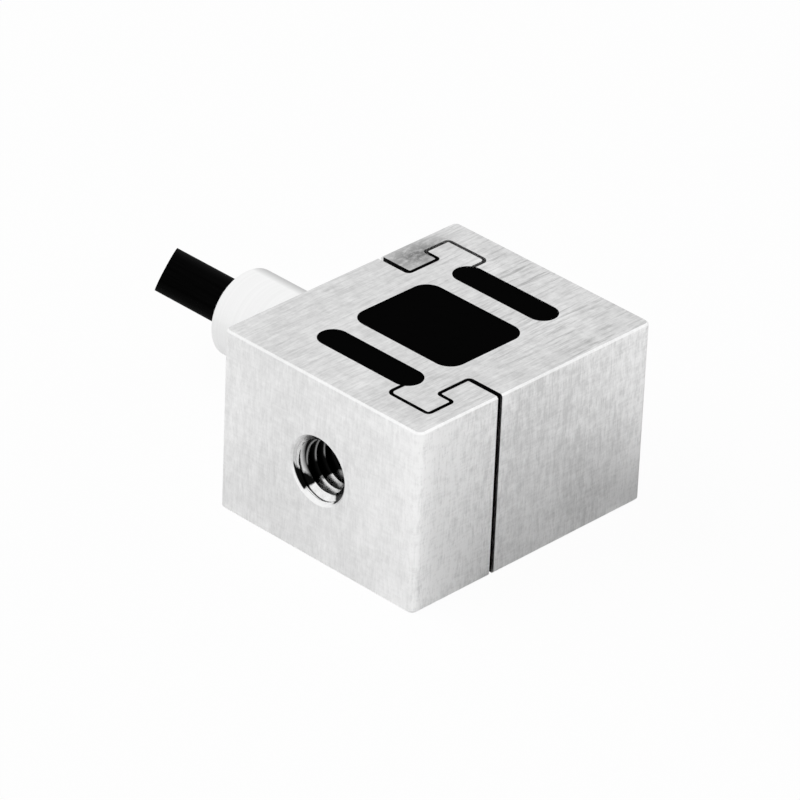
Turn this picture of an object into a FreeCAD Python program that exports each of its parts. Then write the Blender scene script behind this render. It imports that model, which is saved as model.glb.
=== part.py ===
import FreeCAD, Part
import math
import os
import re

import Sketcher

# Miniature S-type load cell, lying on its side as it is stored.
#
# One steel block is the spring: two slots leave a thin beam each side of a central cavity, and two
# hook-shaped wire cuts, each the other turned half a turn about Z, free the threaded ends to move
# along the load axis Y until the hooks meet and stop an overload. Strain gauges sit on the beams'
# inner walls, wired to a small terminal board. Black compound fills the cavity and the slots, and
# the cable enters through a turned sleeve on the -X face.
#
# Frame: millimetres, +Z up, origin at the centre of the underside. X is the width, Y the load axis.

SIZES = [
    # the block, and the metal left round its openings
    ("block_width", 15.9),
    ("block_length", 19.1),
    ("block_height", 12.0),
    ("corner_radius", 0.45),
    ("edge_chamfer", 0.12),
    ("cavity_width", 8.15),
    ("cavity_length", 6.44),
    ("cavity_corner", 1.1),
    ("slot_length", 7.92),
    ("slot_width", 1.97),
    ("slot_offset", 5.55),
    # the wire-cut hooks: metal left outside a hook, how far it bites, and the height of its two steps
    ("gap_width", 0.26),
    ("exit_gap", 0.36),
    ("leave_inset", 0.52),
    ("hook_drop", 1.99),
    ("hook_wall", 1.33),
    ("hook_bite", 1.18),
    ("hook_rise", 2.48),
    ("heel_radius", 0.25),
    ("toe_radius", 0.1),
    # the threaded ends, drawn at the thread's major diameter
    ("thread_diameter", 4.0),
    ("countersink_diameter", 4.47),
    # the cable entry
    ("spigot_diameter", 4.2),
    ("spigot_depth", 2.0),
    ("passage_diameter", 2.4),
    ("sleeve_diameter", 5.7),
    ("sleeve_length", 8.0),
    ("sleeve_chamfer", 0.15),
    ("sleeve_clearance", 0.05),
    ("grommet_diameter", 4.3),
    ("grommet_length", 2.0),
    ("grommet_recess", 0.25),
    # the cable: its reach past the block's face to where it is cut off, the cut's lean from square
    # and the way it leans, in degrees, and how far the jacket goes inside
    ("cable_diameter", 2.9),
    ("cable_reach", 14.8),
    ("cut_lean", 36),
    ("cut_turn", 51),
    ("jacket_depth", 1.6),
    ("shield_wall", 0.12),
    ("core_diameter", 0.7),
    ("core_clearance", 0.02),
    ("conductor_diameter", 0.32),
    ("strip_length", 0.6),
    # the strain gauges on the beams' inner walls
    ("gauge_spacing", 2.6),
    ("carrier_width", 2.2),
    ("carrier_height", 3.2),
    ("carrier_thickness", 0.06),
    ("foil_thickness", 0.03),
    ("strand_length", 1.4),
    ("strand_width", 0.14),
    ("strand_gap", 0.1),
    ("tab_height", 0.5),
    ("lead_width", 0.16),
    ("lead_thickness", 0.06),
    ("lead_run", 1.2),
    ("lead_step", 0.55),
    # the terminal board and what is soldered to it
    ("board_margin", 0.07),
    ("board_height", 6.8),
    ("board_thickness", 0.5),
    ("solder_base", 0.46),
    ("solder_top", 0.36),
    ("solder_thickness", 0.12),
    ("resistor_length", 1.0),
    ("resistor_width", 0.5),
    ("resistor_thickness", 0.35),
    ("resistor_offset", 1.15),
    # the compound, poured flush with the underside, stops just under the top
    ("fill_recess", 0.04),
]
STRANDS = 7

# Places worked out from the sizes above. AXIS_Z is the height of the load axis and of the cable.
AXIS_Z = "(block_height / 2)"
FACE_X = "(block_width / 2)"
FACE_Y = "(block_length / 2)"
WALL_X = "(cavity_width / 2)"
WALL_Y = "(cavity_length / 2)"
BOARD_X = f"({WALL_X} - board_thickness)"
BOARD_Y = f"({WALL_Y} - cavity_corner - board_margin)"
SOLDER_X = f"({BOARD_X} - solder_thickness)"
SLEEVE_BORE = "(cable_diameter / 2 + sleeve_clearance)"
CORE_OFFSET = "((core_diameter + core_clearance) / 2)"
SHIELD_INNER = f"({CORE_OFFSET} * sqrt(2) + core_diameter / 2 + core_clearance)"
SHIELD_OUTER = f"({SHIELD_INNER} + shield_wall)"
FOIL_Y = f"({WALL_Y} - carrier_thickness - foil_thickness)"
STRAND_PITCH = "(strand_width + strand_gap)"
TAB_Z = f"({STRAND_PITCH} * {STRANDS} / 2 + strand_gap / 2 + tab_height / 2)"

doc = FreeCAD.newDocument("s_type_load_cell")
sheet = doc.addObject("Spreadsheet::Sheet", "Sizes")
for row, (alias, size) in enumerate(SIZES, start=1):
    sheet.set(f"A{row}", alias)
    sheet.set(f"B{row}", str(size))
    sheet.setAlias(f"B{row}", alias)
doc.recompute()
ALIASES = {alias for alias, size in SIZES}


def value(text):
    """The present value of an expression on the sheet's aliases."""
    return float(sheet.evalExpression(str(text)))


def bound(text):
    """The same expression as another object of the document writes it."""
    return re.sub(r"[a-z_]+", lambda word: f"Sizes.{word[0]}" if word[0] in ALIASES else word[0], str(text))


def bind(feature, **properties):
    """Bind properties of a feature to expressions; two underscores stand for a dot in a name."""
    for name, text in properties.items():
        feature.setExpression(name.replace("__", "."), bound(text))


def seat(feature, x=0, y=0, z=0, turn=0):
    """Place a feature at bound coordinates, turned by some degrees about Z."""
    rotation = FreeCAD.Rotation(FreeCAD.Vector(0, 0, 1), turn)
    feature.Placement = FreeCAD.Placement(FreeCAD.Vector(value(x), value(y), value(z)), rotation)
    bind(feature, Placement__Base__x=x, Placement__Base__y=y, Placement__Base__z=z)
    return feature


# ---------------------------------------------------------------- sketches and bodies


def origin_part(body, role):
    """One of a body's own origin planes or axes."""
    return next(part for part in body.Origin.OriginFeatures if part.Role == role)


def sketch_on(body, name, role="XY_Plane"):
    """A sketch on one of the body's origin planes."""
    sketch = body.newObject("Sketcher::SketchObject", name)
    sketch.AttachmentSupport = [(origin_part(body, role), "")]
    sketch.MapMode = "FlatFace"
    return sketch


def fix(sketch, kind, geometry, point, text):
    """Hold a point's distance from the sketch's origin, along X or Y, to an expression."""
    index = sketch.addConstraint(Sketcher.Constraint(kind, -1, 1, geometry, point, value(text)))
    sketch.setExpression(f"Constraints[{index}]", bound(text))


def fix_radius(sketch, geometry, text):
    """Hold an arc's radius to an expression."""
    index = sketch.addConstraint(Sketcher.Constraint("Radius", geometry, value(text)))
    sketch.setExpression(f"Constraints[{index}]", bound(text))


def draw_polygon(sketch, corners):
    """A closed outline of straight lines, each corner held at its two coordinates."""
    points = [FreeCAD.Vector(value(x), value(y), 0) for x, y in corners]
    for start, end in zip(points, points[1:] + points[:1]):
        sketch.addGeometry(Part.LineSegment(start, end), False)
    for index, (x, y) in enumerate(corners):
        before = (index - 1) % len(corners)
        sketch.addConstraint(Sketcher.Constraint("Coincident", before, 2, index, 1))
        fix(sketch, "DistanceX", index, 1, x)
        fix(sketch, "DistanceY", index, 1, y)


def corner_arc(before, corner, after, radius):
    """The arc that rounds a right-angled corner, and whether the outline turns left there."""
    inward = (corner - before).normalize()
    outward = (after - corner).normalize()
    turns_left = inward.cross(outward).z > 0
    centre = corner + (outward - inward) * radius
    up = FreeCAD.Vector(0, 0, 1)
    start_side = inward.cross(up) if turns_left else up.cross(outward)
    start = math.atan2(start_side.y, start_side.x)
    circle = Part.Circle(centre, up, radius)
    return Part.ArcOfCircle(circle, start, start + math.pi / 2), turns_left


def draw_rounded(sketch, corners, radii):
    """A closed outline of level and upright lines. Each line is held at its level or its distance
    from the Y axis, and each corner with a radius is rounded."""
    count = len(corners)
    points = [FreeCAD.Vector(value(x), value(y), 0) for x, y in corners]
    rounds = [0 if radius is None else value(radius) for radius in radii]
    for index, start in enumerate(points):
        after = (index + 1) % count
        along = (points[after] - start).normalize()
        trimmed_start = start + along * rounds[index]
        trimmed_end = points[after] - along * rounds[after]
        sketch.addGeometry(Part.LineSegment(trimmed_start, trimmed_end), False)
        if corners[index][1] == corners[after][1]:
            sketch.addConstraint(Sketcher.Constraint("Horizontal", index))
            fix(sketch, "DistanceY", index, 1, corners[index][1])
        else:
            sketch.addConstraint(Sketcher.Constraint("Vertical", index))
            fix(sketch, "DistanceX", index, 1, corners[index][0])
    for index, radius in enumerate(radii):
        before = (index - 1) % count
        if radius is None:
            sketch.addConstraint(Sketcher.Constraint("Coincident", before, 2, index, 1))
            continue
        after = (index + 1) % count
        shape, turns_left = corner_arc(points[before], points[index], points[after], rounds[index])
        arc = sketch.addGeometry(shape, False)
        first, last = (1, 2) if turns_left else (2, 1)
        sketch.addConstraint(Sketcher.Constraint("Tangent", before, 2, arc, first))
        sketch.addConstraint(Sketcher.Constraint("Tangent", arc, last, index, 1))
        fix_radius(sketch, arc, radius)


def rectangle(width, length):
    """The four corners of a rectangle about the origin."""
    x, y = f"({width}) / 2", f"({length}) / 2"
    return [(f"-({x})", f"-({y})"), (x, f"-({y})"), (x, y), (f"-({x})", y)]


def draw_slot(sketch, length, width, level):
    """A level slot with round ends, centred on the Y axis at the level given."""
    reach = f"(({length}) - ({width})) / 2"
    x, y, radius = value(reach), value(level), value(width) / 2
    up = FreeCAD.Vector(0, 0, 1)
    right = Part.Circle(FreeCAD.Vector(x, y, 0), up, radius)
    left = Part.Circle(FreeCAD.Vector(-x, y, 0), up, radius)
    quarter = math.pi / 2
    lower, upper = FreeCAD.Vector(0, y - radius, 0), FreeCAD.Vector(0, y + radius, 0)
    aside = FreeCAD.Vector(x, 0, 0)
    sketch.addGeometry(Part.LineSegment(lower - aside, lower + aside), False)
    sketch.addGeometry(Part.ArcOfCircle(right, -quarter, quarter), False)
    sketch.addGeometry(Part.LineSegment(upper + aside, upper - aside), False)
    sketch.addGeometry(Part.ArcOfCircle(left, quarter, 3 * quarter), False)
    for index in range(4):
        sketch.addConstraint(Sketcher.Constraint("Tangent", index, 2, (index + 1) % 4, 1))
    sketch.addConstraint(Sketcher.Constraint("Horizontal", 0))
    sketch.addConstraint(Sketcher.Constraint("Equal", 1, 3))
    fix(sketch, "DistanceX", 1, 3, reach)
    fix(sketch, "DistanceY", 1, 3, level)
    fix(sketch, "DistanceX", 3, 3, f"-({reach})")
    fix_radius(sketch, 1, f"({width}) / 2")


def feature_from(body, kind, name, sketch, **settings):
    """A PartDesign feature driven by a sketch."""
    feature = body.newObject(f"PartDesign::{kind}", name)
    feature.Profile = sketch
    for setting, content in settings.items():
        setattr(feature, setting, content)
    return feature


def turned_groove(body, name, role, corners, axis):
    """Cut a turned hole: the profile's corners, spun about a line through two points of the sketch."""
    sketch = sketch_on(body, f"{name}_profile", role)
    draw_polygon(sketch, corners)
    ends = [FreeCAD.Vector(value(x), value(y), 0) for x, y in axis]
    line = sketch.addGeometry(Part.LineSegment(*ends), True)
    for point, (x, y) in enumerate(axis, start=1):
        fix(sketch, "DistanceX", line, point, x)
        fix(sketch, "DistanceY", line, point, y)
    return feature_from(body, "Groove", name, sketch, ReferenceAxis=(sketch, ["Axis0"]), Angle=360)


# ---------------------------------------------------------------- the spring block


def hook_outline():
    """The near hook's cut, from the slot's middle line, round the hook and out through the +X face.
    Each run is as wide as its gap, half to each side of its middle line."""
    half, exit_half = "gap_width / 2", "exit_gap / 2"
    slot_y = "-slot_offset"
    leave_x = "(slot_length / 2 - leave_inset)"
    outer_x = f"({FACE_X} - hook_wall)"
    inner_x = f"({outer_x} - hook_bite)"
    heel_y = f"({slot_y} - hook_drop)"
    exit_y = f"({slot_y} + hook_rise)"
    beyond_x = f"({FACE_X} + gap_width)"
    corners = [
        (f"{leave_x} - {half}", slot_y),
        (f"{leave_x} - {half}", f"{heel_y} - {half}"),
        (f"{outer_x} + {half}", f"{heel_y} - {half}"),
        (f"{outer_x} + {half}", f"{slot_y} + {half}"),
        (f"{inner_x} + {half}", f"{slot_y} + {half}"),
        (f"{inner_x} + {half}", f"{exit_y} - {exit_half}"),
        (beyond_x, f"{exit_y} - {exit_half}"),
        (beyond_x, f"{exit_y} + {exit_half}"),
        (f"{inner_x} - {half}", f"{exit_y} + {exit_half}"),
        (f"{inner_x} - {half}", f"{slot_y} - {half}"),
        (f"{outer_x} - {half}", f"{slot_y} - {half}"),
        (f"{outer_x} - {half}", f"{heel_y} + {half}"),
        (f"{leave_x} + {half}", f"{heel_y} + {half}"),
        (f"{leave_x} + {half}", slot_y),
    ]
    heel_outer, toe_outer = "heel_radius + gap_width", "toe_radius + gap_width"
    toe = "toe_radius"
    radii = [None, heel_outer, toe_outer, toe_outer, toe, toe, None]
    radii += [None, toe_outer, toe_outer, toe, toe, "heel_radius", None]
    return corners, radii


def spring_body():
    """The one-piece steel spring: block, openings, hooks, threaded ends and cable entry."""
    body = doc.addObject("PartDesign::Body", "spring_body")
    outline = sketch_on(body, "block_outline")
    draw_rounded(outline, rectangle("block_width", "block_length"), ["corner_radius"] * 4)
    block = feature_from(body, "Pad", "block", outline)
    bind(block, Length="block_height")
    doc.recompute()

    # The rims of the top and the underside are broken: they are the edges that lie level.
    rims = [
        f"Edge{number}"
        for number, edge in enumerate(block.Shape.Edges, start=1)
        if edge.BoundBox.ZLength < edge.BoundBox.DiagonalLength / 2
    ]
    broken = body.newObject("PartDesign::Chamfer", "broken_rims")
    broken.Base = (block, rims)
    bind(broken, Size="edge_chamfer")

    cavity_outline = sketch_on(body, "cavity_outline")
    draw_rounded(cavity_outline, rectangle("cavity_width", "cavity_length"), ["cavity_corner"] * 4)
    feature_from(body, "Pocket", "cavity", cavity_outline, Type="ThroughAll", Reversed=True)

    slot_outline = sketch_on(body, "slot_outline")
    draw_slot(slot_outline, "slot_length", "slot_width", "-slot_offset")
    slot = feature_from(body, "Pocket", "slot", slot_outline, Type="ThroughAll", Reversed=True)

    cut_outline = sketch_on(body, "hook_outline")
    draw_rounded(cut_outline, *hook_outline())
    hook = feature_from(body, "Pocket", "hook", cut_outline, Type="ThroughAll", Reversed=True)

    # The tapped hole runs from the end face into the slot, with a countersunk mouth.
    thread_top = f"{AXIS_Z} + thread_diameter / 2"
    mouth_top = f"{AXIS_Z} + countersink_diameter / 2"
    mouth_depth = "(countersink_diameter - thread_diameter) / 2"
    thread = turned_groove(body, "threaded_end", "YZ_Plane", [
        (f"-{FACE_Y}", AXIS_Z),
        (f"-{FACE_Y}", mouth_top),
        (f"-{FACE_Y} + {mouth_depth}", thread_top),
        ("-slot_offset", thread_top),
        ("-slot_offset", AXIS_Z),
    ], [(f"-{FACE_Y}", AXIS_Z), ("-slot_offset", AXIS_Z)])

    pair = body.newObject("PartDesign::PolarPattern", "turned_pair")
    pair.Originals = [slot, hook, thread]
    pair.Axis = (origin_part(body, "Z_Axis"), [""])
    pair.Angle = 360
    pair.Occurrences = 2
    body.Tip = pair

    spigot_top = f"{AXIS_Z} + spigot_diameter / 2"
    passage_top = f"{AXIS_Z} + passage_diameter / 2"
    turned_groove(body, "cable_entry", "XZ_Plane", [
        (f"-{FACE_X}", AXIS_Z),
        (f"-{FACE_X}", spigot_top),
        (f"-{FACE_X} + spigot_depth", spigot_top),
        (f"-{FACE_X} + spigot_depth", passage_top),
        (f"-{WALL_X} / 2", passage_top),
        (f"-{WALL_X} / 2", AXIS_Z),
    ], [(f"-{FACE_X}", AXIS_Z), (f"-{WALL_X} / 2", AXIS_Z)])
    return body


# ---------------------------------------------------------------- the compound fills


def poured(name, draw, *outline):
    """A body padded from the underside to just under the top, from an outline that draw makes."""
    body = doc.addObject("PartDesign::Body", name)
    sketch = sketch_on(body, f"{name}_outline")
    draw(sketch, *outline)
    pad = feature_from(body, "Pad", f"{name}_pad", sketch)
    bind(pad, Length="block_height - fill_recess")
    return body


def slot_filler(name, side):
    """The compound in one slot."""
    return poured(name, draw_slot, "slot_length", "slot_width", f"{side} * slot_offset")


def cavity_potting(buried):
    """The compound in the cavity, poured round everything that is fastened inside."""
    corners = rectangle("cavity_width", "cavity_length")
    blank = poured("cavity_pour", draw_rounded, corners, ["cavity_corner"] * 4)
    return cut_from("cavity_potting", blank, buried)


def cut_from(name, blank, tools):
    """A blank less a list of other sub-parts."""
    together = doc.addObject("Part::MultiFuse", f"{name}_tools")
    together.Shapes = tools
    result = doc.addObject("Part::Cut", name)
    result.Base = blank
    result.Tool = together
    return result


# ---------------------------------------------------------------- turned pieces of the cable entry


def turned(name, corners, y="0", z="0"):
    """A turned piece: its half section spun about its own X axis, which points out of the -X face.
    The axis is the cable's, or as far from it as y and z say."""
    body = doc.addObject("PartDesign::Body", name)
    sketch = sketch_on(body, f"{name}_section")
    draw_polygon(sketch, corners)
    axis = (origin_part(body, "X_Axis"), [""])
    feature_from(body, "Revolution", f"{name}_turned", sketch, ReferenceAxis=axis, Angle=360)
    return seat(body, x=f"-{FACE_X}", y=y, z=f"{AXIS_Z} + {z}", turn=180)


def ring(name, start, end, inner, outer, **axis):
    """A plain tube between two distances from the face, or a rod where the inner radius is 0."""
    return turned(name, [(start, inner), (end, inner), (end, outer), (start, outer)], **axis)


def cable_knife():
    """What is past the cable's cut: its flat end crosses the cable's axis at the cut, leaning."""
    knife = doc.addObject("Part::Cylinder", "cable_knife")
    bind(knife, Radius="2 * cable_diameter", Height="2 * cable_diameter")
    seat(knife, x=f"-{FACE_X} - cable_reach", z=AXIS_Z)
    lean = FreeCAD.Rotation(FreeCAD.Vector(0, 1, 0), value("cut_lean - 90"))
    turn = FreeCAD.Rotation(FreeCAD.Vector(1, 0, 0), value("cut_turn"))
    knife.Placement.Rotation = turn * lean
    return knife


def cable_part(name, knife, start, inner, outer, **axis):
    """A tube or a rod that runs along the cable and is cut off with it."""
    blank = ring(f"{name}_blank", start, "cable_reach + cable_diameter", inner, outer, **axis)
    piece = doc.addObject("Part::Cut", name)
    piece.Base = blank
    piece.Tool = knife
    return piece


def cable_sleeve():
    """The sleeve: a spigot in the block, a plain barrel outside, and a seat for the grommet."""
    barrel, spigot, seat_radius = "sleeve_diameter / 2", "spigot_diameter / 2", "grommet_diameter / 2"
    seat_x = "sleeve_length - grommet_length - grommet_recess"
    return turned("cable_sleeve", [
        ("-spigot_depth", SLEEVE_BORE),
        (seat_x, SLEEVE_BORE),
        (seat_x, seat_radius),
        ("sleeve_length", seat_radius),
        ("sleeve_length", f"{barrel} - sleeve_chamfer"),
        ("sleeve_length - sleeve_chamfer", barrel),
        ("0", barrel),
        ("0", spigot),
        ("-spigot_depth", spigot),
    ])


def cable_grommet():
    """The rubber ring between the cable and the sleeve's mouth."""
    start = "sleeve_length - grommet_length - grommet_recess"
    end = "sleeve_length - grommet_recess"
    return ring("cable_grommet", start, end, "cable_diameter / 2", "grommet_diameter / 2")


def entry_seal(cores):
    """The sealant behind the jacket's end, through the passage to the cavity."""
    bore, passage = SLEEVE_BORE, "passage_diameter / 2"
    cavity_x = f"{WALL_X} - {FACE_X}"
    blank = turned("entry_seal_pour", [
        (cavity_x, "0"),
        ("-jacket_depth", "0"),
        ("-jacket_depth", bore),
        ("-spigot_depth", bore),
        ("-spigot_depth", passage),
        (cavity_x, passage),
    ])
    return cut_from("entry_seal", blank, cores)


def core(colour, knife, side_y, side_z):
    """One core of the cable: the bared conductor, and the insulation round it as far as the strip."""
    axis = {"y": f"{side_y} * {CORE_OFFSET}", "z": f"{side_z} * {CORE_OFFSET}"}
    tip = f"-({FACE_X} + {SOLDER_X})"
    skin = f"{tip} + strip_length"
    wire, cover = "conductor_diameter / 2", "core_diameter / 2"
    return [
        cable_part(f"{colour}_conductor", knife, tip, "0", wire, **axis),
        cable_part(f"{colour}_insulation", knife, skin, wire, cover, **axis),
    ]


# ---------------------------------------------------------------- gauges and board


def block_of(name, length, width, height, x, y, z):
    """A plain rectangular piece, placed by its low corner."""
    piece = doc.addObject("Part::Box", name)
    bind(piece, Length=length, Width=width, Height=height)
    return seat(piece, x=x, y=y, z=z)


def gauge_foil(name, centre_x, foil_y):
    """A gauge's foil: strands side by side, joined end to end into one conductor, with a broad tab
    above and below."""
    left = f"{centre_x} - strand_length / 2"
    right = f"{centre_x} + strand_length / 2 - strand_width"
    low = f"{AXIS_Z} - {STRAND_PITCH} * {STRANDS} / 2 + strand_gap / 2"
    foil = doc.addObject("Part::MultiFuse", name)
    foil.Refine = True
    patches = []

    def patch(part, x, z, length, height):
        patches.append(block_of(f"{name}_{part}", length, "foil_thickness", height, x, foil_y, z))

    for strand in range(STRANDS):
        level = f"{low} + {STRAND_PITCH} * {strand}"
        patch(f"strand_{strand}", left, level, "strand_length", "strand_width")
    for turn in range(STRANDS + 1):
        turn_x = right if turn % 2 else left
        level = f"{low} + {STRAND_PITCH} * {turn} - strand_gap"
        patch(f"turn_{turn}", turn_x, level, "strand_width", "strand_gap")
    patch("lower_tab", left, f"{low} - strand_gap - tab_height", "strand_length", "tab_height")
    patch("upper_tab", left, f"{low} + {STRAND_PITCH} * {STRANDS}", "strand_length", "tab_height")
    foil.Shapes = patches
    return foil


def gauge_lead(name, centre_x, wall, run, level):
    """A flat ribbon lead: straight off the gauge's tab, then along the cavity to the board."""
    half = "lead_thickness / 2"
    foil_y, near_y, far_y = [f"{wall} * ({y})" for y in (FOIL_Y, f"{run} + {half}", f"{run} - {half}")]
    body = doc.addObject("PartDesign::Body", name)
    sketch = sketch_on(body, f"{name}_outline")
    draw_polygon(sketch, [
        (f"{centre_x} - {half}", foil_y),
        (f"{centre_x} + {half}", foil_y),
        (f"{centre_x} + {half}", near_y),
        (SOLDER_X, near_y),
        (SOLDER_X, far_y),
        (f"{centre_x} - {half}", far_y),
    ])
    pad = feature_from(body, "Pad", f"{name}_pad", sketch)
    bind(pad, Length="lead_width")
    return seat(body, z=f"{level} - lead_width / 2")


def strain_gauge(number, side_x, wall):
    """One gauge on a beam's inner wall: its film carrier, its foil and its two leads."""
    centre_x = f"({side_x} * gauge_spacing / 2)"
    film_y = f"{WALL_Y} - carrier_thickness" if wall > 0 else f"-{WALL_Y}"
    foil_y = FOIL_Y if wall > 0 else f"-{FOIL_Y} - foil_thickness"
    run = "lead_run" if side_x < 0 else "lead_run + lead_step"
    film = block_of(
        f"strain_gauge_{number}",
        "carrier_width",
        "carrier_thickness",
        "carrier_height",
        f"{centre_x} - carrier_width / 2",
        film_y,
        f"{AXIS_Z} - carrier_height / 2",
    )
    foil = gauge_foil(f"gauge_foil_{number}", centre_x, foil_y)
    leads = [
        gauge_lead(f"gauge_lead_{number}{end}", centre_x, wall, run, f"{AXIS_Z} {sign} {TAB_Z}")
        for end, sign in (("a", "+"), ("b", "-"))
    ]
    return [film, foil] + leads


def terminal_board():
    """The small board bonded to the cavity's +X wall."""
    return block_of(
        "terminal_board",
        "board_thickness",
        f"2 * {BOARD_Y}",
        "board_height",
        BOARD_X,
        f"-{BOARD_Y}",
        f"{AXIS_Z} - board_height / 2",
    )


def trim_resistor(name, side):
    """A chip resistor on the board, above or below its middle."""
    return block_of(
        name,
        "resistor_thickness",
        "resistor_length",
        "resistor_width",
        f"{BOARD_X} - resistor_thickness",
        "-resistor_length / 2",
        f"{AXIS_Z} + {side} * resistor_offset - resistor_width / 2",
    )


def solder_joints():
    """The solder between the board and every wire: four for the cores, eight for the leads."""
    places = [(f"{y} * {CORE_OFFSET}", f"{z} * {CORE_OFFSET}") for y in (-1, 1) for z in (-1, 1)]
    runs = ("lead_run", "(lead_run + lead_step)")
    places += [(f"{y} * {run}", f"{z} * {TAB_Z}") for y in (-1, 1) for run in runs for z in (-1, 1)]
    base, top = "solder_base / 2", "solder_top / 2"
    joints = []
    for number, (y, z) in enumerate(places, start=1):
        joint = doc.addObject("Part::Wedge", f"solder_{number}")
        bind(joint, Xmin=f"-{base}", Xmax=base, Zmin=f"-{base}", Zmax=base)
        bind(joint, X2min=f"-{top}", X2max=top, Z2min=f"-{top}", Z2max=top)
        bind(joint, Ymax="solder_thickness")
        joints.append(seat(joint, x=BOARD_X, y=y, z=f"{AXIS_Z} + {z}", turn=90))
    group = doc.addObject("Part::Compound", "solder_joints")
    group.Links = joints
    return group


# ---------------------------------------------------------------- the assembly

gauges = []
for number, (side_x, wall) in enumerate([(-1, -1), (1, -1), (1, 1), (-1, 1)], start=1):
    gauges += strain_gauge(number, side_x, wall)

knife = cable_knife()
cores = []
for colour, side_y, side_z in [("red", -1, 1), ("black", 1, 1), ("green", -1, -1), ("white", 1, -1)]:
    cores += core(colour, knife, side_y, side_z)

board = [
    terminal_board(),
    trim_resistor("zero_resistor", 1),
    trim_resistor("span_resistor", -1),
    solder_joints(),
]

cable = [
    cable_part("cable_jacket", knife, "-jacket_depth", SHIELD_OUTER, "cable_diameter / 2"),
    cable_part("cable_shield", knife, "-jacket_depth", SHIELD_INNER, SHIELD_OUTER),
    cable_sleeve(),
    cable_grommet(),
]

fills = [
    slot_filler("near_slot_filler", -1),
    slot_filler("far_slot_filler", 1),
    cavity_potting(gauges + cores + board),
    entry_seal(cores),
]

pieces = [spring_body()] + gauges + cores + board + cable + fills
doc.recompute()

faults = [item.Name for item in doc.Objects if {"Invalid", "Error"} & set(item.State)]
for piece in pieces:
    if piece.Shape.isNull() or not piece.Shape.isValid() or not piece.Shape.Solids:
        faults.append(piece.Label)
if faults:
    raise RuntimeError(f"these did not build: {faults}")

os.makedirs("parts", exist_ok=True)
for piece in pieces:
    piece.Shape.exportStep(f"parts/{piece.Label}.step")
    print(f"{piece.Label}: {len(piece.Shape.Solids)} solid, {piece.Shape.Volume:.3f} mm3")
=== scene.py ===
# %% [markdown]
# # Dressing a miniature S-type load cell
#
# A load cell is a spring that measures force. This one is a steel block about as big as a sugar
# cube: slots and a cavity leave two thin beams, hook-shaped cuts keep it from being overloaded,
# each end is tapped for a screw, and a cable leaves through a sleeve in its side. The solid model
# gives the shapes. This script adds what a solid model leaves out: finishes, the turns of the
# threads, the light and the camera.

# %% Open the frame
import math

import bmesh
import bpy
from mathutils import Matrix, Vector


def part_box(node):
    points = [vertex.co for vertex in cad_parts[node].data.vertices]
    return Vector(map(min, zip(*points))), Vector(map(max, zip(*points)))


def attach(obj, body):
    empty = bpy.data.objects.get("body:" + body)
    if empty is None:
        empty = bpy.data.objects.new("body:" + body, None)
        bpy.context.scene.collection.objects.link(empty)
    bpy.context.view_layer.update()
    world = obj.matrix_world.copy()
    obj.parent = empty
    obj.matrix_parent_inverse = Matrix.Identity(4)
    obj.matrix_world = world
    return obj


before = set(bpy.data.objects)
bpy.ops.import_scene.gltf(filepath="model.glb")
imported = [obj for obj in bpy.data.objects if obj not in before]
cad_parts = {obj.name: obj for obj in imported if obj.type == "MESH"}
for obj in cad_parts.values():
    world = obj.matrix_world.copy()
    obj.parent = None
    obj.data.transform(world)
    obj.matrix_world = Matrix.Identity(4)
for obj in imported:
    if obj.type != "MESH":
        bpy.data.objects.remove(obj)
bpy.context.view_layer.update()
print("nodes in the frame:", len(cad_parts))

# %% [markdown]
# ## Working in millimetres
#
# The scene is in metres, but a part this small is thought of in millimetres. One constant turns
# one into the other. The driving sizes come from the frame's own nodes, so that the dressing
# follows the solid model and nothing is placed by eye.

# %% Sizes read from the frame
MM = 0.001

block_low, block_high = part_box("spring_body")
axis_z = (block_low.z + block_high.z) / 2
print("block, mm:", [round(size / MM, 2) for size in block_high - block_low])

# %% [markdown]
# ## The camera
#
# A long lens far away keeps the block's edges nearly parallel, as in a catalogue view. The camera
# looks down at a corner, with the cable behind. It is rolled a little, so its three axes are
# worked out from the angles and written into one matrix.

# %% Place the camera
AZIMUTH = math.radians(43.26)
ELEVATION = math.radians(30.84)
ROLL = math.radians(2.65)
DISTANCE = 362.2 * MM
LENS_MM = 280.2
SENSOR_MM = 36.0
SHIFT_X = -0.0430
SHIFT_Y = 0.0178

back = Vector((
    math.sin(AZIMUTH) * math.cos(ELEVATION),
    -math.cos(AZIMUTH) * math.cos(ELEVATION),
    math.sin(ELEVATION),
))
level = Vector((math.cos(AZIMUTH), math.sin(AZIMUTH), 0))
upright = back.cross(level)
right = level * math.cos(ROLL) + upright * math.sin(ROLL)
up = upright * math.cos(ROLL) - level * math.sin(ROLL)

camera_data = bpy.data.cameras.new("camera")
camera_data.lens = LENS_MM
camera_data.sensor_width = SENSOR_MM
camera_data.shift_x = SHIFT_X
camera_data.shift_y = SHIFT_Y
camera = bpy.data.objects.new("camera", camera_data)
bpy.context.scene.collection.objects.link(camera)
target = Vector((0, 0, axis_z))
camera.matrix_world = Matrix.Translation(target + back * DISTANCE) @ Matrix((
    (right.x, up.x, back.x, 0),
    (right.y, up.y, back.y, 0),
    (right.z, up.z, back.z, 0),
    (0, 0, 0, 1),
))
bpy.context.scene.camera = camera
print("camera stands", round(DISTANCE / MM), "mm away")

# %% [markdown]
# ## Arithmetic on surfaces
#
# A finish is a small calculation that runs at every point of a surface. Blender draws it as boxes
# and wires; here it is written as Python. `Value` wraps one output of a node, and adding,
# subtracting or multiplying values adds the Math nodes. Every other kind of node comes from one
# method, which takes the node's type, its settings, and what goes into its sockets.

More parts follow.
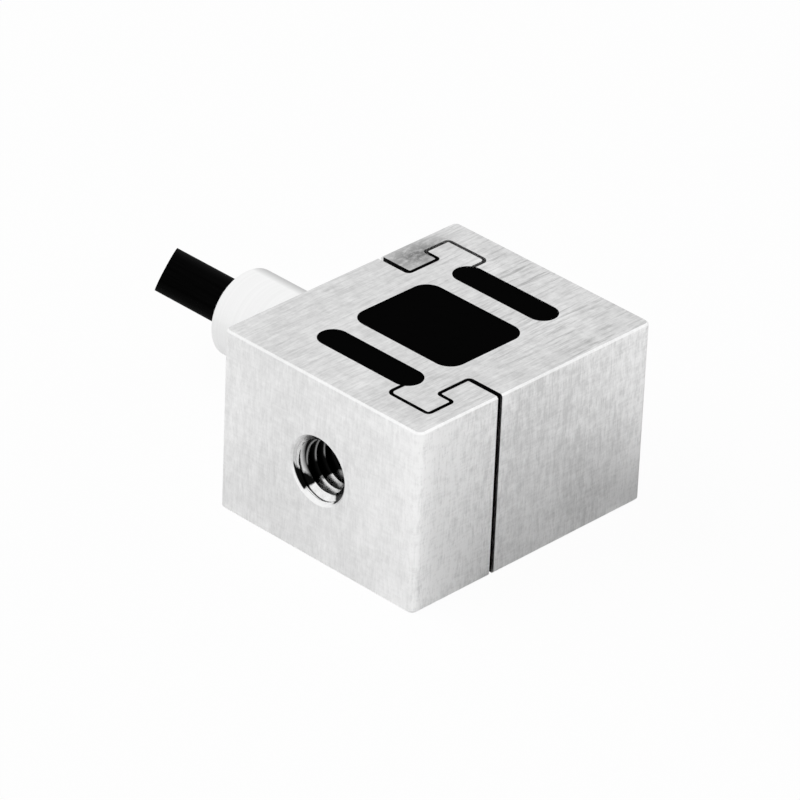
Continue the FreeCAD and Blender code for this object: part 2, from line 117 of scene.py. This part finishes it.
# %% A value that varies over a surface
class Value:
    """One output of a shader node, with arithmetic that adds Math nodes."""

    def __init__(self, finish, output):
        self.finish = finish
        self.output = output

    def __add__(self, other):
        return self.finish.calc("ADD", self, other)

    def __sub__(self, other):
        return self.finish.calc("SUBTRACT", self, other)

    def __rsub__(self, other):
        return self.finish.calc("SUBTRACT", other, self)

    def __mul__(self, other):
        return self.finish.calc("MULTIPLY", self, other)

    __radd__ = __add__


# %% A finish
class Finish:
    """A material with one principled shader. Constants are set on the shader's own sockets."""

    def __init__(self, name, constants):
        self.material = bpy.data.materials.new(name)
        self.material.use_nodes = True
        self.tree = self.material.node_tree
        self.shader = self.tree.nodes["Principled BSDF"]
        for socket, constant in constants.items():
            self.shader.inputs[socket].default_value = constant

    def node(self, kind, settings=None, sockets=None, output=0):
        """Add a node: settings first, then the values or links of its sockets."""
        node = self.tree.nodes.new(kind)
        for name, setting in (settings or {}).items():
            setattr(node, name, setting)
        for name, value in (sockets or {}).items():
            if isinstance(value, Value):
                self.tree.links.new(value.output, node.inputs[name])
            else:
                node.inputs[name].default_value = value
        return Value(self, node.outputs[output])

    def feed(self, sockets):
        """Link values to the shader's sockets."""
        for name, value in sockets.items():
            self.tree.links.new(value.output, self.shader.inputs[name])

    def calc(self, operation, *values):
        """One Math node on numbers or values."""
        return self.node("ShaderNodeMath", {"operation": operation}, dict(enumerate(values)))

    def along(self, axis):
        """A point's coordinate along X, Y or Z, in millimetres."""
        point = self.node("ShaderNodeTexCoord", output="Object")
        return self.node("ShaderNodeSeparateXYZ", {}, {0: point}, output=axis) * (1 / MM)

    def facing(self, axis):
        """How far the surface faces along X, Y or Z: 1 squarely, 0 not at all, either way."""
        normal = self.node("ShaderNodeTexCoord", output="Normal")
        part = self.node("ShaderNodeSeparateXYZ", {}, {0: normal}, output=axis)
        return self.calc("ABSOLUTE", part)

    def noise(self, per_mm, detail=2.0, roughness=0.5):
        """Soft noise, mostly from 0.3 to 0.7, with so many cells to the millimetre on each axis."""
        point = self.node("ShaderNodeTexCoord", output="Object")
        scale = [count / MM for count in per_mm]
        stretched = self.node("ShaderNodeMapping", {}, {"Vector": point, "Scale": scale})
        sockets = {"Vector": stretched, "Scale": 1.0, "Detail": detail, "Roughness": roughness}
        return self.node("ShaderNodeTexNoise", {}, sockets)

    def spread(self, value, low, high):
        """Stretch a value so that low becomes 0 and high becomes 1, and stop it there."""
        sockets = {"Value": value, "From Min": low, "From Max": high}
        return self.node("ShaderNodeMapRange", {"clamp": True}, sockets)

    def shade(self, amount, dark, light):
        """A colour between two others, each a value, three numbers or one number for a grey."""
        ends = []
        for end in (dark, light):
            if isinstance(end, float):
                end = (end, end, end)
            ends.append(end if isinstance(end, Value) else (*end, 1))
        sockets = {0: amount, 6: ends[0], 7: ends[1]}
        return self.node("ShaderNodeMix", {"data_type": "RGBA"}, sockets, output=2)

    def raised(self, height, depth_mm, strength=1.0):
        """Small relief, up to a depth, for the shader's normal."""
        sockets = {"Height": height, "Distance": depth_mm * MM, "Strength": strength}
        return self.node("ShaderNodeBump", {}, sockets)


print("shader arithmetic is ready")

# %% Give a finish to nodes of the frame
def dress(finish, *names):
    """Put a finish on solid-model nodes, in place of their plain colour."""
    for name in names:
        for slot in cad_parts[name].material_slots:
            slot.material = finish.material
    print(finish.material.name, "on", ", ".join(names))


# %% [markdown]
# ## Brushed steel
#
# The block is ground and then brushed on an abrasive belt. A belt leaves fine parallel scratches:
# upright ones on the four sides, and on the two large faces ones that run along the load axis.
# An image of scratches would need unwrapped faces, and it would repeat. Stretched noise needs
# neither: one noise is drawn out along Z for the sides, another along Y for the flats, and the
# way the surface faces chooses between them. A sparse noise adds the deeper scratches, most of
# them towards one corner.

# %% The grain of a belt
FAINTEST = 0.35


def belt_grain(finish, fine, coarse):
    """Streaks from 0 to 1: short dense ones, and longer ones between them."""
    short = finish.noise(fine, detail=3.0, roughness=0.65)
    long = finish.noise(coarse, detail=3.0, roughness=0.6)
    return finish.spread(short * 0.6 + long * 0.4, 0.4, 0.6)


def deep_scratches(finish):
    """Sparse scratches along Y, deepest towards the far right corner of the flats."""
    lines = finish.spread(finish.noise((4.6, 0.32, 1.0), detail=4.0, roughness=0.7), 0.5, 0.66)
    patches = finish.spread(finish.noise((0.35, 0.3, 1.0), detail=2.0), 0.38, 0.58)
    corner = finish.spread(finish.along("X") * 0.6 + finish.along("Y"), -4.0, 9.0)
    deeper = 1 - FAINTEST
    return lines * (FAINTEST + patches * deeper) * (FAINTEST + corner * deeper)


# %% [markdown]
# ## Where the belt never reached
#
# Sparks from a thin wire cut the slots and the hook-shaped gaps, and they leave a dark skin on
# the walls. Here the walls go near black: partly that skin, partly painted shade in the narrow
# gaps. The solid model has no separate face for it to sit on, so the walls are found by where
# they are: further in than the outer faces. The far gap's outer run gets much less of that dark
# than the rest. The tip beside it carries painted shade on top, in a patch that fades away from
# its middle.

# %% Wire-cut walls and painted shade on the tip
# In millimetres. Each pair says where a mask is still 0, and where it has reached 1.
WALL_IN_X = 0.2
WALL_IN_Y = 0.3
LIGHTER_RUN_Y = (5.7, 5.9)
TIP_SHADE_CENTRE = (-6.6, 5.0)
TIP_SHADE_REACH = (1.9, 0.3)
TIP_X = (-5.4, -5.45)
TIP_Y = (5.65, 5.6)
EDGE_X = (-6.55, -6.65)
HOOK_Y = (3.0, 3.1)


def inwards(finish, axis):
    """How far a point lies in from the block's outer faces across X or Y, in millimetres."""
    reach = {"X": block_high.x, "Y": block_high.y}[axis] / MM
    return reach - finish.calc("ABSOLUTE", finish.along(axis))


def wire_cut_skin_and_shade(finish):
    """1 on walls that lie further in than the block's outer faces, and 0 on those faces."""
    # Near black on the walls: partly the real wire-cut skin, partly painted shade in the gaps. The
    # far gap's outer run gets less of it.
    past_x = finish.calc("GREATER_THAN", inwards(finish, "X"), WALL_IN_X)
    past_y = finish.calc("GREATER_THAN", inwards(finish, "Y"), WALL_IN_Y)
    lighter_run = finish.spread(finish.along("Y"), *LIGHTER_RUN_Y)
    return past_x * past_y * (1 - lighter_run * 0.9)


def painted_shade_on_tip(finish):
    """The painted shade on the far hook's tip, strongest in its middle."""
    x, y = finish.along("X"), finish.along("Y")
    off_x, off_y = x - TIP_SHADE_CENTRE[0], (y - TIP_SHADE_CENTRE[1]) * 0.5
    fading = finish.spread(finish.calc("SQRT", off_x * off_x + off_y * off_y), *TIP_SHADE_REACH)
    on_tip = finish.spread(x, *TIP_X) * finish.spread(y, *TIP_Y)
    on_edge = finish.spread(x, *EDGE_X)
    on_top = finish.spread(finish.along("Z"), axis_z / MM, axis_z / MM + 1)
    patch = finish.calc("MAXIMUM", on_tip, on_edge) * finish.spread(y, *HOOK_Y) * on_top
    # Noise breaks up the painted shade.
    patchiness = finish.spread(finish.noise((3.0, 1.6, 1.0), detail=4.0, roughness=0.7), 0.2, 0.55)
    return fading * patch * patchiness


# %% [markdown]
# ## Painted shade and light in the tapped holes
#
# Inside both tapped holes the metal is painted near black, as shade. Along the bottom, a little on
# the crests to one side and round the first turn at the mouth it is left bright, as painted light
# where the lamp reaches in. The marks could be painted by hand, but a range of angles says the
# same in a line: each point's place round the hole is an angle, 0 at the bottom, and noise makes
# the edges of the range ragged.

# %% Polar coordinates in a tapped hole
# Angles in degrees from the bottom, depths and radii in millimetres, in pairs as before.
RAGGED = 30
LIT_LEFT = (-34, -28)
LIT_RIGHT = (42, 34)
LIT_DEPTH = (3.2, 2.0)
SLANT = 54
MOUTH_LEFT = (-165, -140)
MOUTH_RIGHT = (-82, -90)
MOUTH_DEPTH = (0.75, 0.6)
CREST_ANGLE = (-64, -74)
CREST_RADIUS = (1.72, 1.66)
HOLE_RADIUS = (2.13, 2.1)
HOLE_SHADE_GREY = 0.004


def round_hole(finish):
    """The distance from the load axis in mm, and the angle in degrees from the bottom."""
    turned = finish.calc("SIGN", finish.along("Y")) * -1
    x, z = finish.along("X") * turned, finish.along("Z") - axis_z / MM
    radius = finish.calc("SQRT", x * x + z * z)
    angle = finish.calc("ARCTAN2", x, z * -1) * math.degrees(1)
    return radius, angle


def painted_light_in_hole(finish, radius, angle):
    """How far the hole's metal is painted lit: 0 in painted shade, 1 in painted light."""
    ragged = angle + finish.noise((2.2, 2.2, 2.2), detail=3.0) * RAGGED - RAGGED / 2
    depth = inwards(finish, "Y")
    lit_bottom = finish.spread(ragged, *LIT_LEFT) * finish.spread(ragged, *LIT_RIGHT)
    slanted = ragged - depth * SLANT
    mouth = finish.spread(slanted, *MOUTH_RIGHT) * finish.spread(angle, *MOUTH_LEFT) * 0.85
    first_turn = finish.spread(depth, *MOUTH_DEPTH)
    crests = finish.spread(ragged, *CREST_ANGLE) * finish.spread(radius, *CREST_RADIUS) * 0.3
    lit_low = finish.calc("MAXIMUM", lit_bottom, crests) * finish.spread(depth, *LIT_DEPTH)
    return finish.calc("MAXIMUM", lit_low, mouth * first_turn)


# %% [markdown]
# ## Corners worn by the belt, with a painted highlight
#
# A belt gives way a little at a corner, so the sides fall back over the last millimetre or two
# and the light turns softly round the upright corners. That is too slight to model. A bump that
# falls away towards a corner turns the reflection in the same way. A painted highlight lightens
# the sides near the corners too. Both are kept to the two corners away from the cable.

# %% Upright corners
CROWN_WIDTH = 1.6
CROWN_DROP = 0.18
CORNER_HIGHLIGHT_WIDTH = 6.0
CORNER_HIGHLIGHT_GAIN = 0.35


def near_corner(finish, width):
    """1 at the two upright corners away from the cable, down to 0 at so many mm from them."""
    away = inwards(finish, "X") + inwards(finish, "Y")
    return finish.spread(away, width, 0) * finish.spread(finish.along("X"), -1, 1)


# %% [markdown]
# ## The block's finish, put together
#
# Base colour carries nearly all of it. Grain, mottle, cross scratches and slow clouds add up to
# one tone, with more contrast on the two sides that face along X, which were brushed on a coarser
# belt. The flats get darker greys than the sides, as painted shade, and painted highlights lighten
# the top edges and two upright corners. The scratches, the painted shade on the far tip, the
# painted shade and light in the tapped holes and the near black of the gaps, partly their skin
# and partly painted shade, are laid over it, each through its own mask. Roughness and a very
# slight relief follow the same grain.

# %% The block's finish
SIDES_DARK, SIDES_LIGHT = 0.72, 1.0
FLATS_DARK, FLATS_LIGHT = 0.52, 0.86
EDGE_HIGHLIGHT_GREY = 0.97
SCRATCH_AND_SHADE_GREY = 0.16
CUT_SKIN_AND_SHADE_GREY = 0.015
GRAIN_HEIGHT = 0.0016


def brushed_steel():
    """The finish of the block."""
    finish = Finish("brushed_steel", {"Metallic": 1.0})
    level = finish.spread(finish.facing("Z"), 0.75, 0.85)
    sides = belt_grain(finish, (8.0, 8.0, 1.6), (3.5, 3.5, 0.5))
    flats = belt_grain(finish, (8.0, 0.8, 1.0), (4.2, 0.22, 1.0))
    grain = flats * level + sides * (1 - level)
    mottle = finish.spread(finish.noise((1.8, 1.8, 1.2), detail=5.0, roughness=0.75), 0.34, 0.66)
    clouds = finish.spread(finish.noise((0.2, 0.2, 0.15), detail=2.0), 0.35, 0.65)
    crossed = finish.spread(finish.noise((0.9, 0.9, 6.0), detail=3.0, roughness=0.6), 0.35, 0.65)
    # Painted highlight: the sides lighten towards the two upright corners away from the cable.
    corner_highlight = near_corner(finish, CORNER_HIGHLIGHT_WIDTH) * (1 - level)
    mixed = grain * 0.3 + mottle * 0.32 + crossed * 0.17 + clouds * 0.21
    tone = (mixed - 0.5) * (1 + finish.facing("X") * 0.9) + 0.5 + corner_highlight * CORNER_HIGHLIGHT_GAIN
    scratched = deep_scratches(finish) * level
    # Painted shade: the flats' greys sit below the sides', so the top reads darker than the sides.
    dark = finish.shade(level, SIDES_DARK, FLATS_DARK)
    light = finish.shade(level, SIDES_LIGHT, FLATS_LIGHT)
    steel = finish.shade(tone, dark, light)
    # Painted highlight: the rounded edges between the top and the sides are lightened towards near
    # white.
    rim = finish.spread(finish.facing("Z"), 0.2, 0.5) * (1 - level)
    highlighted_metal = finish.shade(rim * 0.5, steel, EDGE_HIGHLIGHT_GREY)
    # Painted shade on the far tip is laid on in one grey with the real scratches.
    scratches_and_shade = finish.calc("MAXIMUM", scratched * 0.55, painted_shade_on_tip(finish) * 0.95 * level)
    scratched_and_shaded = finish.shade(scratches_and_shade, highlighted_metal, SCRATCH_AND_SHADE_GREY)
    crown = near_corner(finish, CROWN_WIDTH) * (1 - level)
    radius, angle = round_hole(finish)
    # Painted shade inside the tapped holes, with painted light where the lamp reaches in.
    hole_shade = finish.spread(radius, *HOLE_RADIUS) * (1 - painted_light_in_hole(finish, radius, angle))
    inside = wire_cut_skin_and_shade(finish) * (1 - level)
    # The gap walls go near black: partly wire-cut skin, partly painted shade.
    cut = finish.shade(inside, scratched_and_shaded, CUT_SKIN_AND_SHADE_GREY)
    finish.feed({
        "Base Color": finish.shade(hole_shade, cut, HOLE_SHADE_GREY),
        "Roughness": 0.37 - grain * 0.07 + inside * 0.3,
        "Normal": finish.raised(grain * GRAIN_HEIGHT - crown * crown * CROWN_DROP, 1.0),
    })
    return finish


dress(brushed_steel(), "spring_body")

# %% [markdown]
# ## Turned sleeve
#
# The sleeve was turned on a lathe, so it is brighter than the block, with the faintest rings round
# it where the tool passed. The rings are a noise that changes quickly along X and hardly at all
# round it. A line of painted shade, a dark reflection put into the colour, runs along its upper
# far side.

# %% The sleeve's finish
SHADE_LINE_TOWARDS_Y, SHADE_LINE_TOWARDS_Z = 0.634, 0.773
SHADE_LINE_FROM = (2.4, 2.8)


def turned_metal():
    """Bright turned steel, ringed round the cable's axis, with painted shade along its far side."""
    finish = Finish("turned_metal", {"Metallic": 1.0})
    rings = finish.spread(finish.noise((7.0, 0.05, 0.05), detail=2.0), 0.35, 0.65)
    height = finish.along("Z") - axis_z / MM
    lean = finish.along("Y") * SHADE_LINE_TOWARDS_Y + height * SHADE_LINE_TOWARDS_Z
    # Painted shade: a dark line along the upper far side stands in for a dark reflection.
    dull = finish.spread(lean, *SHADE_LINE_FROM)
    finish.feed({
        "Base Color": finish.shade(dull * 0.6, finish.shade(rings, 0.9, 0.93), 0.3),
        "Roughness": 0.42 + rings * 0.04,
        "Normal": finish.raised(rings, 0.002, 0.1),
    })
    return finish


dress(turned_metal(), "cable_sleeve")

# %% [markdown]
# ## Black compound
#
# The gauges and their wires are sealed under a black silicone compound, poured to just below the
# steel. It takes nearly all the light. Its surface is not quite flat, because it shrinks as it
# sets, and its gloss is broken by fine dust.

# %% The compound's finish
BLACK, DUSTY_BLACK = 0.0006, 0.0018


def black_compound():
    """Poured black silicone."""
    finish = Finish("black_compound", {"Specular IOR Level": 0.002})
    swell = finish.noise((0.5, 0.5, 0.5), detail=2.0)
    dust = finish.spread(finish.noise((14.0, 14.0, 14.0), detail=3.0), 0.55, 0.75)
    finish.feed({
        "Base Color": finish.shade(dust, BLACK, DUSTY_BLACK),
        "Roughness": 0.5 + dust * 0.3,
        "Normal": finish.raised(swell, 0.05, 0.5),
    })
    return finish


dress(black_compound(), "cavity_potting", "near_slot_filler", "far_slot_filler")

# %% [markdown]
# ## Rubber and sealant
#
# The cable's jacket is a soft black compound, extruded through a die that leaves hair-fine lines
# along it. The grommet that closes the sleeve's mouth is moulded rubber, a little greyer. Behind
# the jacket's end an amber sealant fills the passage.

# %% The cable's outer finishes
def cable_jacket_finish():
    """Extruded black jacket, with faint lines along X."""
    finish = Finish("black_jacket", {"Specular IOR Level": 0.004})
    lines = finish.spread(finish.noise((0.15, 6.0, 6.0), detail=2.0), 0.35, 0.65)
    finish.feed({
        "Base Color": finish.shade(lines, BLACK, DUSTY_BLACK),
        "Roughness": 0.42 + lines * 0.12,
        "Normal": finish.raised(lines, 0.01, 0.4),
    })
    return finish


def moulded_rubber(name, dark, light):
    """A dull moulded surface with fine pores."""
    finish = Finish(name, {"Specular IOR Level": 0.3})
    pores = finish.spread(finish.noise((9.0, 9.0, 9.0), detail=4.0), 0.35, 0.65)
    finish.feed({
        "Base Color": finish.shade(pores, dark, light),
        "Roughness": 0.6 + pores * 0.2,
        "Normal": finish.raised(pores, 0.01, 0.4),
    })
    return finish


dress(cable_jacket_finish(), "cable_jacket")
dress(moulded_rubber("grommet_rubber", 0.012, 0.03), "cable_grommet")
dress(moulded_rubber("amber_sealant", (0.33, 0.24, 0.12), (0.5, 0.4, 0.22)), "entry_seal")

# %% [markdown]
# ## Wires, board and gauges
#
# The pieces under the compound show when the cell is taken apart, and the cable's cut end shows
# its four cores. Each gets a finish of its own kind: glossy coloured insulation, tinned copper,
# woven shield, green laminate, amber gauge film and etched foil.

# %% Finishes of the pieces inside
def insulation(name, dark, light):
    """Thin glossy insulation, a little uneven in colour."""
    finish = Finish(name, {"Specular IOR Level": 0.45})
    uneven = finish.spread(finish.noise((0.6, 3.0, 3.0), detail=2.0), 0.3, 0.7)
    finish.feed({
        "Base Color": finish.shade(uneven, dark, light),
        "Roughness": 0.3 + uneven * 0.12,
        "Normal": finish.raised(uneven, 0.01, 0.3),
    })
    return finish


def fine_metal(name, dark, light, per_mm, rough):
    """Bare metal with a grain of the density given."""
    finish = Finish(name, {"Metallic": 1.0})
    grain = finish.spread(finish.noise(per_mm, detail=3.0), 0.3, 0.7)
    finish.feed({
        "Base Color": finish.shade(grain, dark, light),
        "Roughness": rough + grain * 0.12,
        "Normal": finish.raised(grain, 0.004, 0.4),
    })
    return finish


def film(name, dark, light, per_mm=(5.0, 5.0, 5.0)):
    """A thin laminate or film: satin, with the weave or the mottle of its filler."""
    finish = Finish(name, {"Specular IOR Level": 0.4})
    mottle = finish.spread(finish.noise(per_mm, detail=3.0), 0.3, 0.7)
    finish.feed({
        "Base Color": finish.shade(mottle, dark, light),
        "Roughness": 0.38 + mottle * 0.15,
        "Normal": finish.raised(mottle, 0.004, 0.3),
    })
    return finish


CORES = {
    "red": ((0.45, 0.02, 0.015), (0.6, 0.04, 0.03)),
    "black": ((0.008, 0.008, 0.008), (0.02, 0.02, 0.02)),
    "green": ((0.01, 0.2, 0.04), (0.02, 0.3, 0.07)),
    "white": ((0.72, 0.72, 0.69), (0.84, 0.84, 0.81)),
}
for colour, (dark, light) in CORES.items():
    dress(insulation(f"{colour}_insulation", dark, light), f"{colour}_insulation")

GAUGES = range(1, 5)
tinned = fine_metal("tinned_copper", (0.62, 0.60, 0.56), (0.8, 0.78, 0.74), (0.8, 8.0, 8.0), 0.28)
dress(tinned, *[f"{colour}_conductor" for colour in CORES])
braid = fine_metal("braid", (0.4, 0.39, 0.37), (0.75, 0.73, 0.7), (5.0, 9.0, 9.0), 0.35)
dress(braid, "cable_shield")
solder = fine_metal("solder", (0.6, 0.6, 0.6), (0.75, 0.75, 0.75), (3.0, 3.0, 3.0), 0.2)
dress(solder, "solder_joints")
foil = fine_metal("etched_foil", (0.55, 0.47, 0.36), (0.72, 0.62, 0.48), (6.0, 6.0, 1.0), 0.3)
dress(foil, *[f"gauge_foil_{number}" for number in GAUGES])
ribbon = fine_metal("nickel_ribbon", (0.6, 0.57, 0.5), (0.74, 0.7, 0.62), (1.0, 8.0, 8.0), 0.25)
dress(ribbon, *[f"gauge_lead_{number}{end}" for number in GAUGES for end in "ab"])
amber = film("gauge_film", (0.42, 0.2, 0.03), (0.6, 0.32, 0.07))
dress(amber, *[f"strain_gauge_{number}" for number in GAUGES])
laminate = film("green_laminate", (0.02, 0.14, 0.05), (0.04, 0.22, 0.08), (4.0, 4.0, 4.0))
dress(laminate, "terminal_board")
ceramic = film("resistor_body", (0.01, 0.01, 0.011), (0.03, 0.03, 0.032))
dress(ceramic, "zero_resistor", "span_resistor")

# %% [markdown]
# ## The turns of the threads
#
# Both ends are tapped for an M4 screw. The solid model bores them plain, at the thread's outer
# diameter, so what is missing is the ridge that winds inwards from that wall. Its section is a
# tooth with sides 60 degrees apart. A screw thread is this section spun about the axis while it
# moves along it, which is just what bmesh's spin does when it is given a step along the axis.
#
# The countersink was cut after the thread, so it shortens the first turns: every point that would
# stand inside the countersink's cone is moved out, to just under the cone, so that the two
# surfaces never lie in one place and flicker. The far thread is the near one turned half round.

# %% Wind one ridge
MAJOR_RADIUS = 2.0 * MM
PITCH = 0.7 * MM
TOOTH_HEIGHT = PITCH * math.sqrt(3) / 2 * 5 / 8
EMBEDDED = 0.02 * MM
MOUTH_RADIUS = 2.235 * MM
TURNS = 6
STEPS = 72
FLANK_CUTS = 6
WELD = 0.0005 * MM
SMOOTH_BELOW = math.radians(40)


def finished(bm, name):
    """Turn a bmesh into an object on the root body, shaded smooth but for its sharp edges."""
    mesh = bpy.data.meshes.new(name)
    for face in bm.faces:
        face.smooth = True
    for edge in bm.edges:
        edge.smooth = len(edge.link_faces) == 2 and edge.calc_face_angle(0) < SMOOTH_BELOW
    bm.to_mesh(mesh)
    bm.free()
    piece = bpy.data.objects.new(name, mesh)
    bpy.context.scene.collection.objects.link(piece)
    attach(piece, "root")
    print(name, "has", len(mesh.polygons), "faces")
    return piece


def thread_ridge(name, mouth_y, slot_y):
    """The ridge in the near end, from its mouth to its slot, as a closed mesh."""
    bm = bmesh.new()
    root, crest = PITCH * 7 / 16, PITCH / 8
    inner = MAJOR_RADIUS - TOOTH_HEIGHT
    start_y = mouth_y - PITCH
    outer = MAJOR_RADIUS + EMBEDDED
    corners = [(-root, outer), (-crest / 2, inner), (crest / 2, inner), (root, outer)]
    section = [bm.verts.new((0, start_y + along, axis_z - radius)) for along, radius in corners]
    edges = [bm.edges.new(pair) for pair in zip(section, section[1:] + section[:1])]
    bmesh.ops.subdivide_edges(bm, edges=[edges[0], edges[2]], cuts=FLANK_CUTS)
    bmesh.ops.spin(
        bm,
        geom=bm.verts[:] + bm.edges[:],
        cent=(0, 0, axis_z),
        axis=(0, 1, 0),
        dvec=(0, PITCH / STEPS, 0),
        angle=2 * math.pi * TURNS,
        steps=STEPS * TURNS,
    )
    for cut_y, outward in ((mouth_y, -1), (slot_y + EMBEDDED, 1)):
        cut = bmesh.ops.bisect_plane(
            bm,
            geom=bm.verts[:] + bm.edges[:] + bm.faces[:],
            plane_co=(0, cut_y, 0),
            plane_no=(0, outward, 0),
            clear_outer=True,
        )
        rim = [item for item in cut["geom_cut"] if isinstance(item, bmesh.types.BMEdge)]
        bmesh.ops.holes_fill(bm, edges=rim, sides=0)
    for vert in bm.verts:
        spoke = Vector((vert.co.x, 0, vert.co.z - axis_z))
        cone = MOUTH_RADIUS - (vert.co.y - mouth_y) + EMBEDDED
        if spoke.length < cone:
            spoke *= cone / spoke.length
            vert.co = Vector((spoke.x, vert.co.y, spoke.z + axis_z))
    bmesh.ops.remove_doubles(bm, verts=bm.verts, dist=WELD)
    bmesh.ops.recalc_face_normals(bm, faces=bm.faces)
    return finished(bm, name)


# %% Both threads
def shaded_thread():
    """Fresh cut metal, smoother than the brushed faces, in painted shade but for painted light."""
    finish = Finish("shaded_thread", {"Metallic": 1.0})
    chatter = finish.spread(finish.noise((3.0, 3.0, 3.0), detail=3.0), 0.35, 0.65)
    highlighted_metal = finish.shade(chatter, 0.78, 0.92)
    finish.feed({
        # Painted shade in the hole, with painted light where the lamp reaches in.
        "Base Color": finish.shade(painted_light_in_hole(finish, *round_hole(finish)), HOLE_SHADE_GREY, highlighted_metal),
        "Roughness": 0.2 + chatter * 0.1,
        "Normal": finish.raised(chatter, 0.004, 0.3),
    })
    return finish


slot_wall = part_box("near_slot_filler")[0].y
near_thread = thread_ridge("near_thread_turns", block_low.y, slot_wall)
far_mesh = near_thread.data.copy()
far_mesh.transform(Matrix.Rotation(math.pi, 4, "Z"))
far_thread = bpy.data.objects.new("far_thread_turns", far_mesh)
bpy.context.scene.collection.objects.link(far_thread)
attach(far_thread, "root")
thread_finish = shaded_thread()
for piece in (near_thread, far_thread):
    piece.data.materials.append(thread_finish.material)

# %% [markdown]
# ## The floor
#
# The cell lies flat on a plain white floor. Brushed metal shows whatever stands round it, so the
# floor matters twice: it is the background, and it is what the sides mirror. Making it white with
# lamps would burn the metal out. Instead the Light Path node tells the rays apart. Scattered light
# meets a matt pale surface, which takes the cell's shadow and lights it softly from below. A ray
# straight from the camera meets mostly an even white glow, and a share of the matt surface, so
# that the shadow stays. The metal mirrors the glow too, but more of it further from the cell,
# which gives the sides their slow change from pale at the top to grey near the floor.

# %% The floor
FLOOR_HALF = 600 * MM
FLOOR_BELOW = 0.02 * MM
GLOW_SEEN = 0.96
GLOW_MIRRORED = 0.7
GLOW_STARTS = (10, 26)
GLOW_CENTRE = (2.5, 5.5)


def glowing_floor():
    """Matt for scattered light, mostly an even white for the camera."""
    finish = Finish("studio_floor", {"Base Color": (0.86, 0.86, 0.86, 1), "Roughness": 0.9})
    seen = finish.node("ShaderNodeLightPath", output="Is Camera Ray")
    through = finish.node("ShaderNodeLightPath", output="Is Transmission Ray")
    mirrored = finish.node("ShaderNodeLightPath", output="Is Glossy Ray")
    glow = finish.tree.nodes.new("ShaderNodeEmission")
    glow.inputs["Color"].default_value = (1, 1, 1, 1)
    mix = finish.tree.nodes.new("ShaderNodeMixShader")
    x, y = finish.along("X") - GLOW_CENTRE[0], finish.along("Y") - GLOW_CENTRE[1]
    away = finish.spread(finish.calc("SQRT", x * x + y * y), *GLOW_STARTS)
    share = (seen + through) * GLOW_SEEN + mirrored * away * GLOW_MIRRORED
    finish.tree.links.new(share.output, mix.inputs["Fac"])
    finish.tree.links.new(finish.shader.outputs["BSDF"], mix.inputs[1])
    finish.tree.links.new(glow.outputs["Emission"], mix.inputs[2])
    end = finish.tree.nodes["Material Output"]
    finish.tree.links.new(mix.outputs["Shader"], end.inputs["Surface"])
    return finish


bm = bmesh.new()
bmesh.ops.create_grid(bm, x_segments=1, y_segments=1, size=FLOOR_HALF)
bmesh.ops.translate(bm, verts=bm.verts, vec=(0, 0, block_low.z - FLOOR_BELOW))
floor_mesh = bpy.data.meshes.new("floor")
bm.to_mesh(floor_mesh)
bm.free()
floor_mesh.materials.append(glowing_floor().material)
floor = bpy.data.objects.new("floor", floor_mesh)
bpy.context.scene.collection.objects.link(floor)
print("floor, mm:", round(2 * FLOOR_HALF / MM), "square,", FLOOR_BELOW / MM, "below the block")

# %% [markdown]
# ## The room
#
# Past the floor's edge stands nothing but the world, a soft even light. It too tells the rays
# apart: white for the camera and for what metal mirrors, and a dark grey for the scattered light,
# so that the lamps still model the shapes.

# %% The world
AMBIENT = 0.14
MIRRORED = 1.0
SEEN = 1.0

world = bpy.data.worlds.new("studio")
bpy.context.scene.world = world
world.use_nodes = True
nodes, links = world.node_tree.nodes, world.node_tree.links
path = nodes.new("ShaderNodeLightPath")
greys = []
for ray, lit in (("Is Glossy Ray", MIRRORED), ("Is Transmission Ray", SEEN), ("Is Camera Ray", SEEN)):
    step = nodes.new("ShaderNodeMix")
    step.inputs[2].default_value = AMBIENT
    step.inputs[3].default_value = lit
    links.new(path.outputs[ray], step.inputs["Factor"])
    if greys:
        links.new(greys[-1].outputs[0], step.inputs[2])
    greys.append(step)
links.new(greys[-1].outputs[0], nodes["Background"].inputs["Color"])
bpy.context.scene.view_settings.view_transform = "Standard"
print("world greys:", AMBIENT, MIRRORED, SEEN)

# %% [markdown]
# ## The lamps
#
# Two square soft boxes, the key high over the cable's side and a weaker fill opposite. A lamp
# mirrored in brushed metal burns out every rounded edge that turns towards it. So these two light
# the matt pieces and cast the shadow, but are hidden from reflections, and the metal's light comes
# from the floor and the room.

# %% The lamps
LAMP_DISTANCE = 800 * MM


def soft_box(name, direction, width_mm, watts):
    """A square area lamp that looks at the middle of the cell."""
    lamp = bpy.data.lights.new(name, "AREA")
    lamp.shape = "SQUARE"
    lamp.size = width_mm * MM
    lamp.energy = watts
    box = bpy.data.objects.new(name, lamp)
    box.visible_glossy = False
    bpy.context.scene.collection.objects.link(box)
    aim = Vector(direction).normalized()
    turned = aim.to_track_quat("Z", "Y").to_matrix().to_4x4()
    box.matrix_world = Matrix.Translation(target + aim * LAMP_DISTANCE) @ turned
    print(name, width_mm, "mm wide,", watts, "W")


soft_box("key", (-0.5, -0.5, 0.82), 900, 6.5)
soft_box("fill", (0.512, 0.625, 0.6), 600, 1.0)
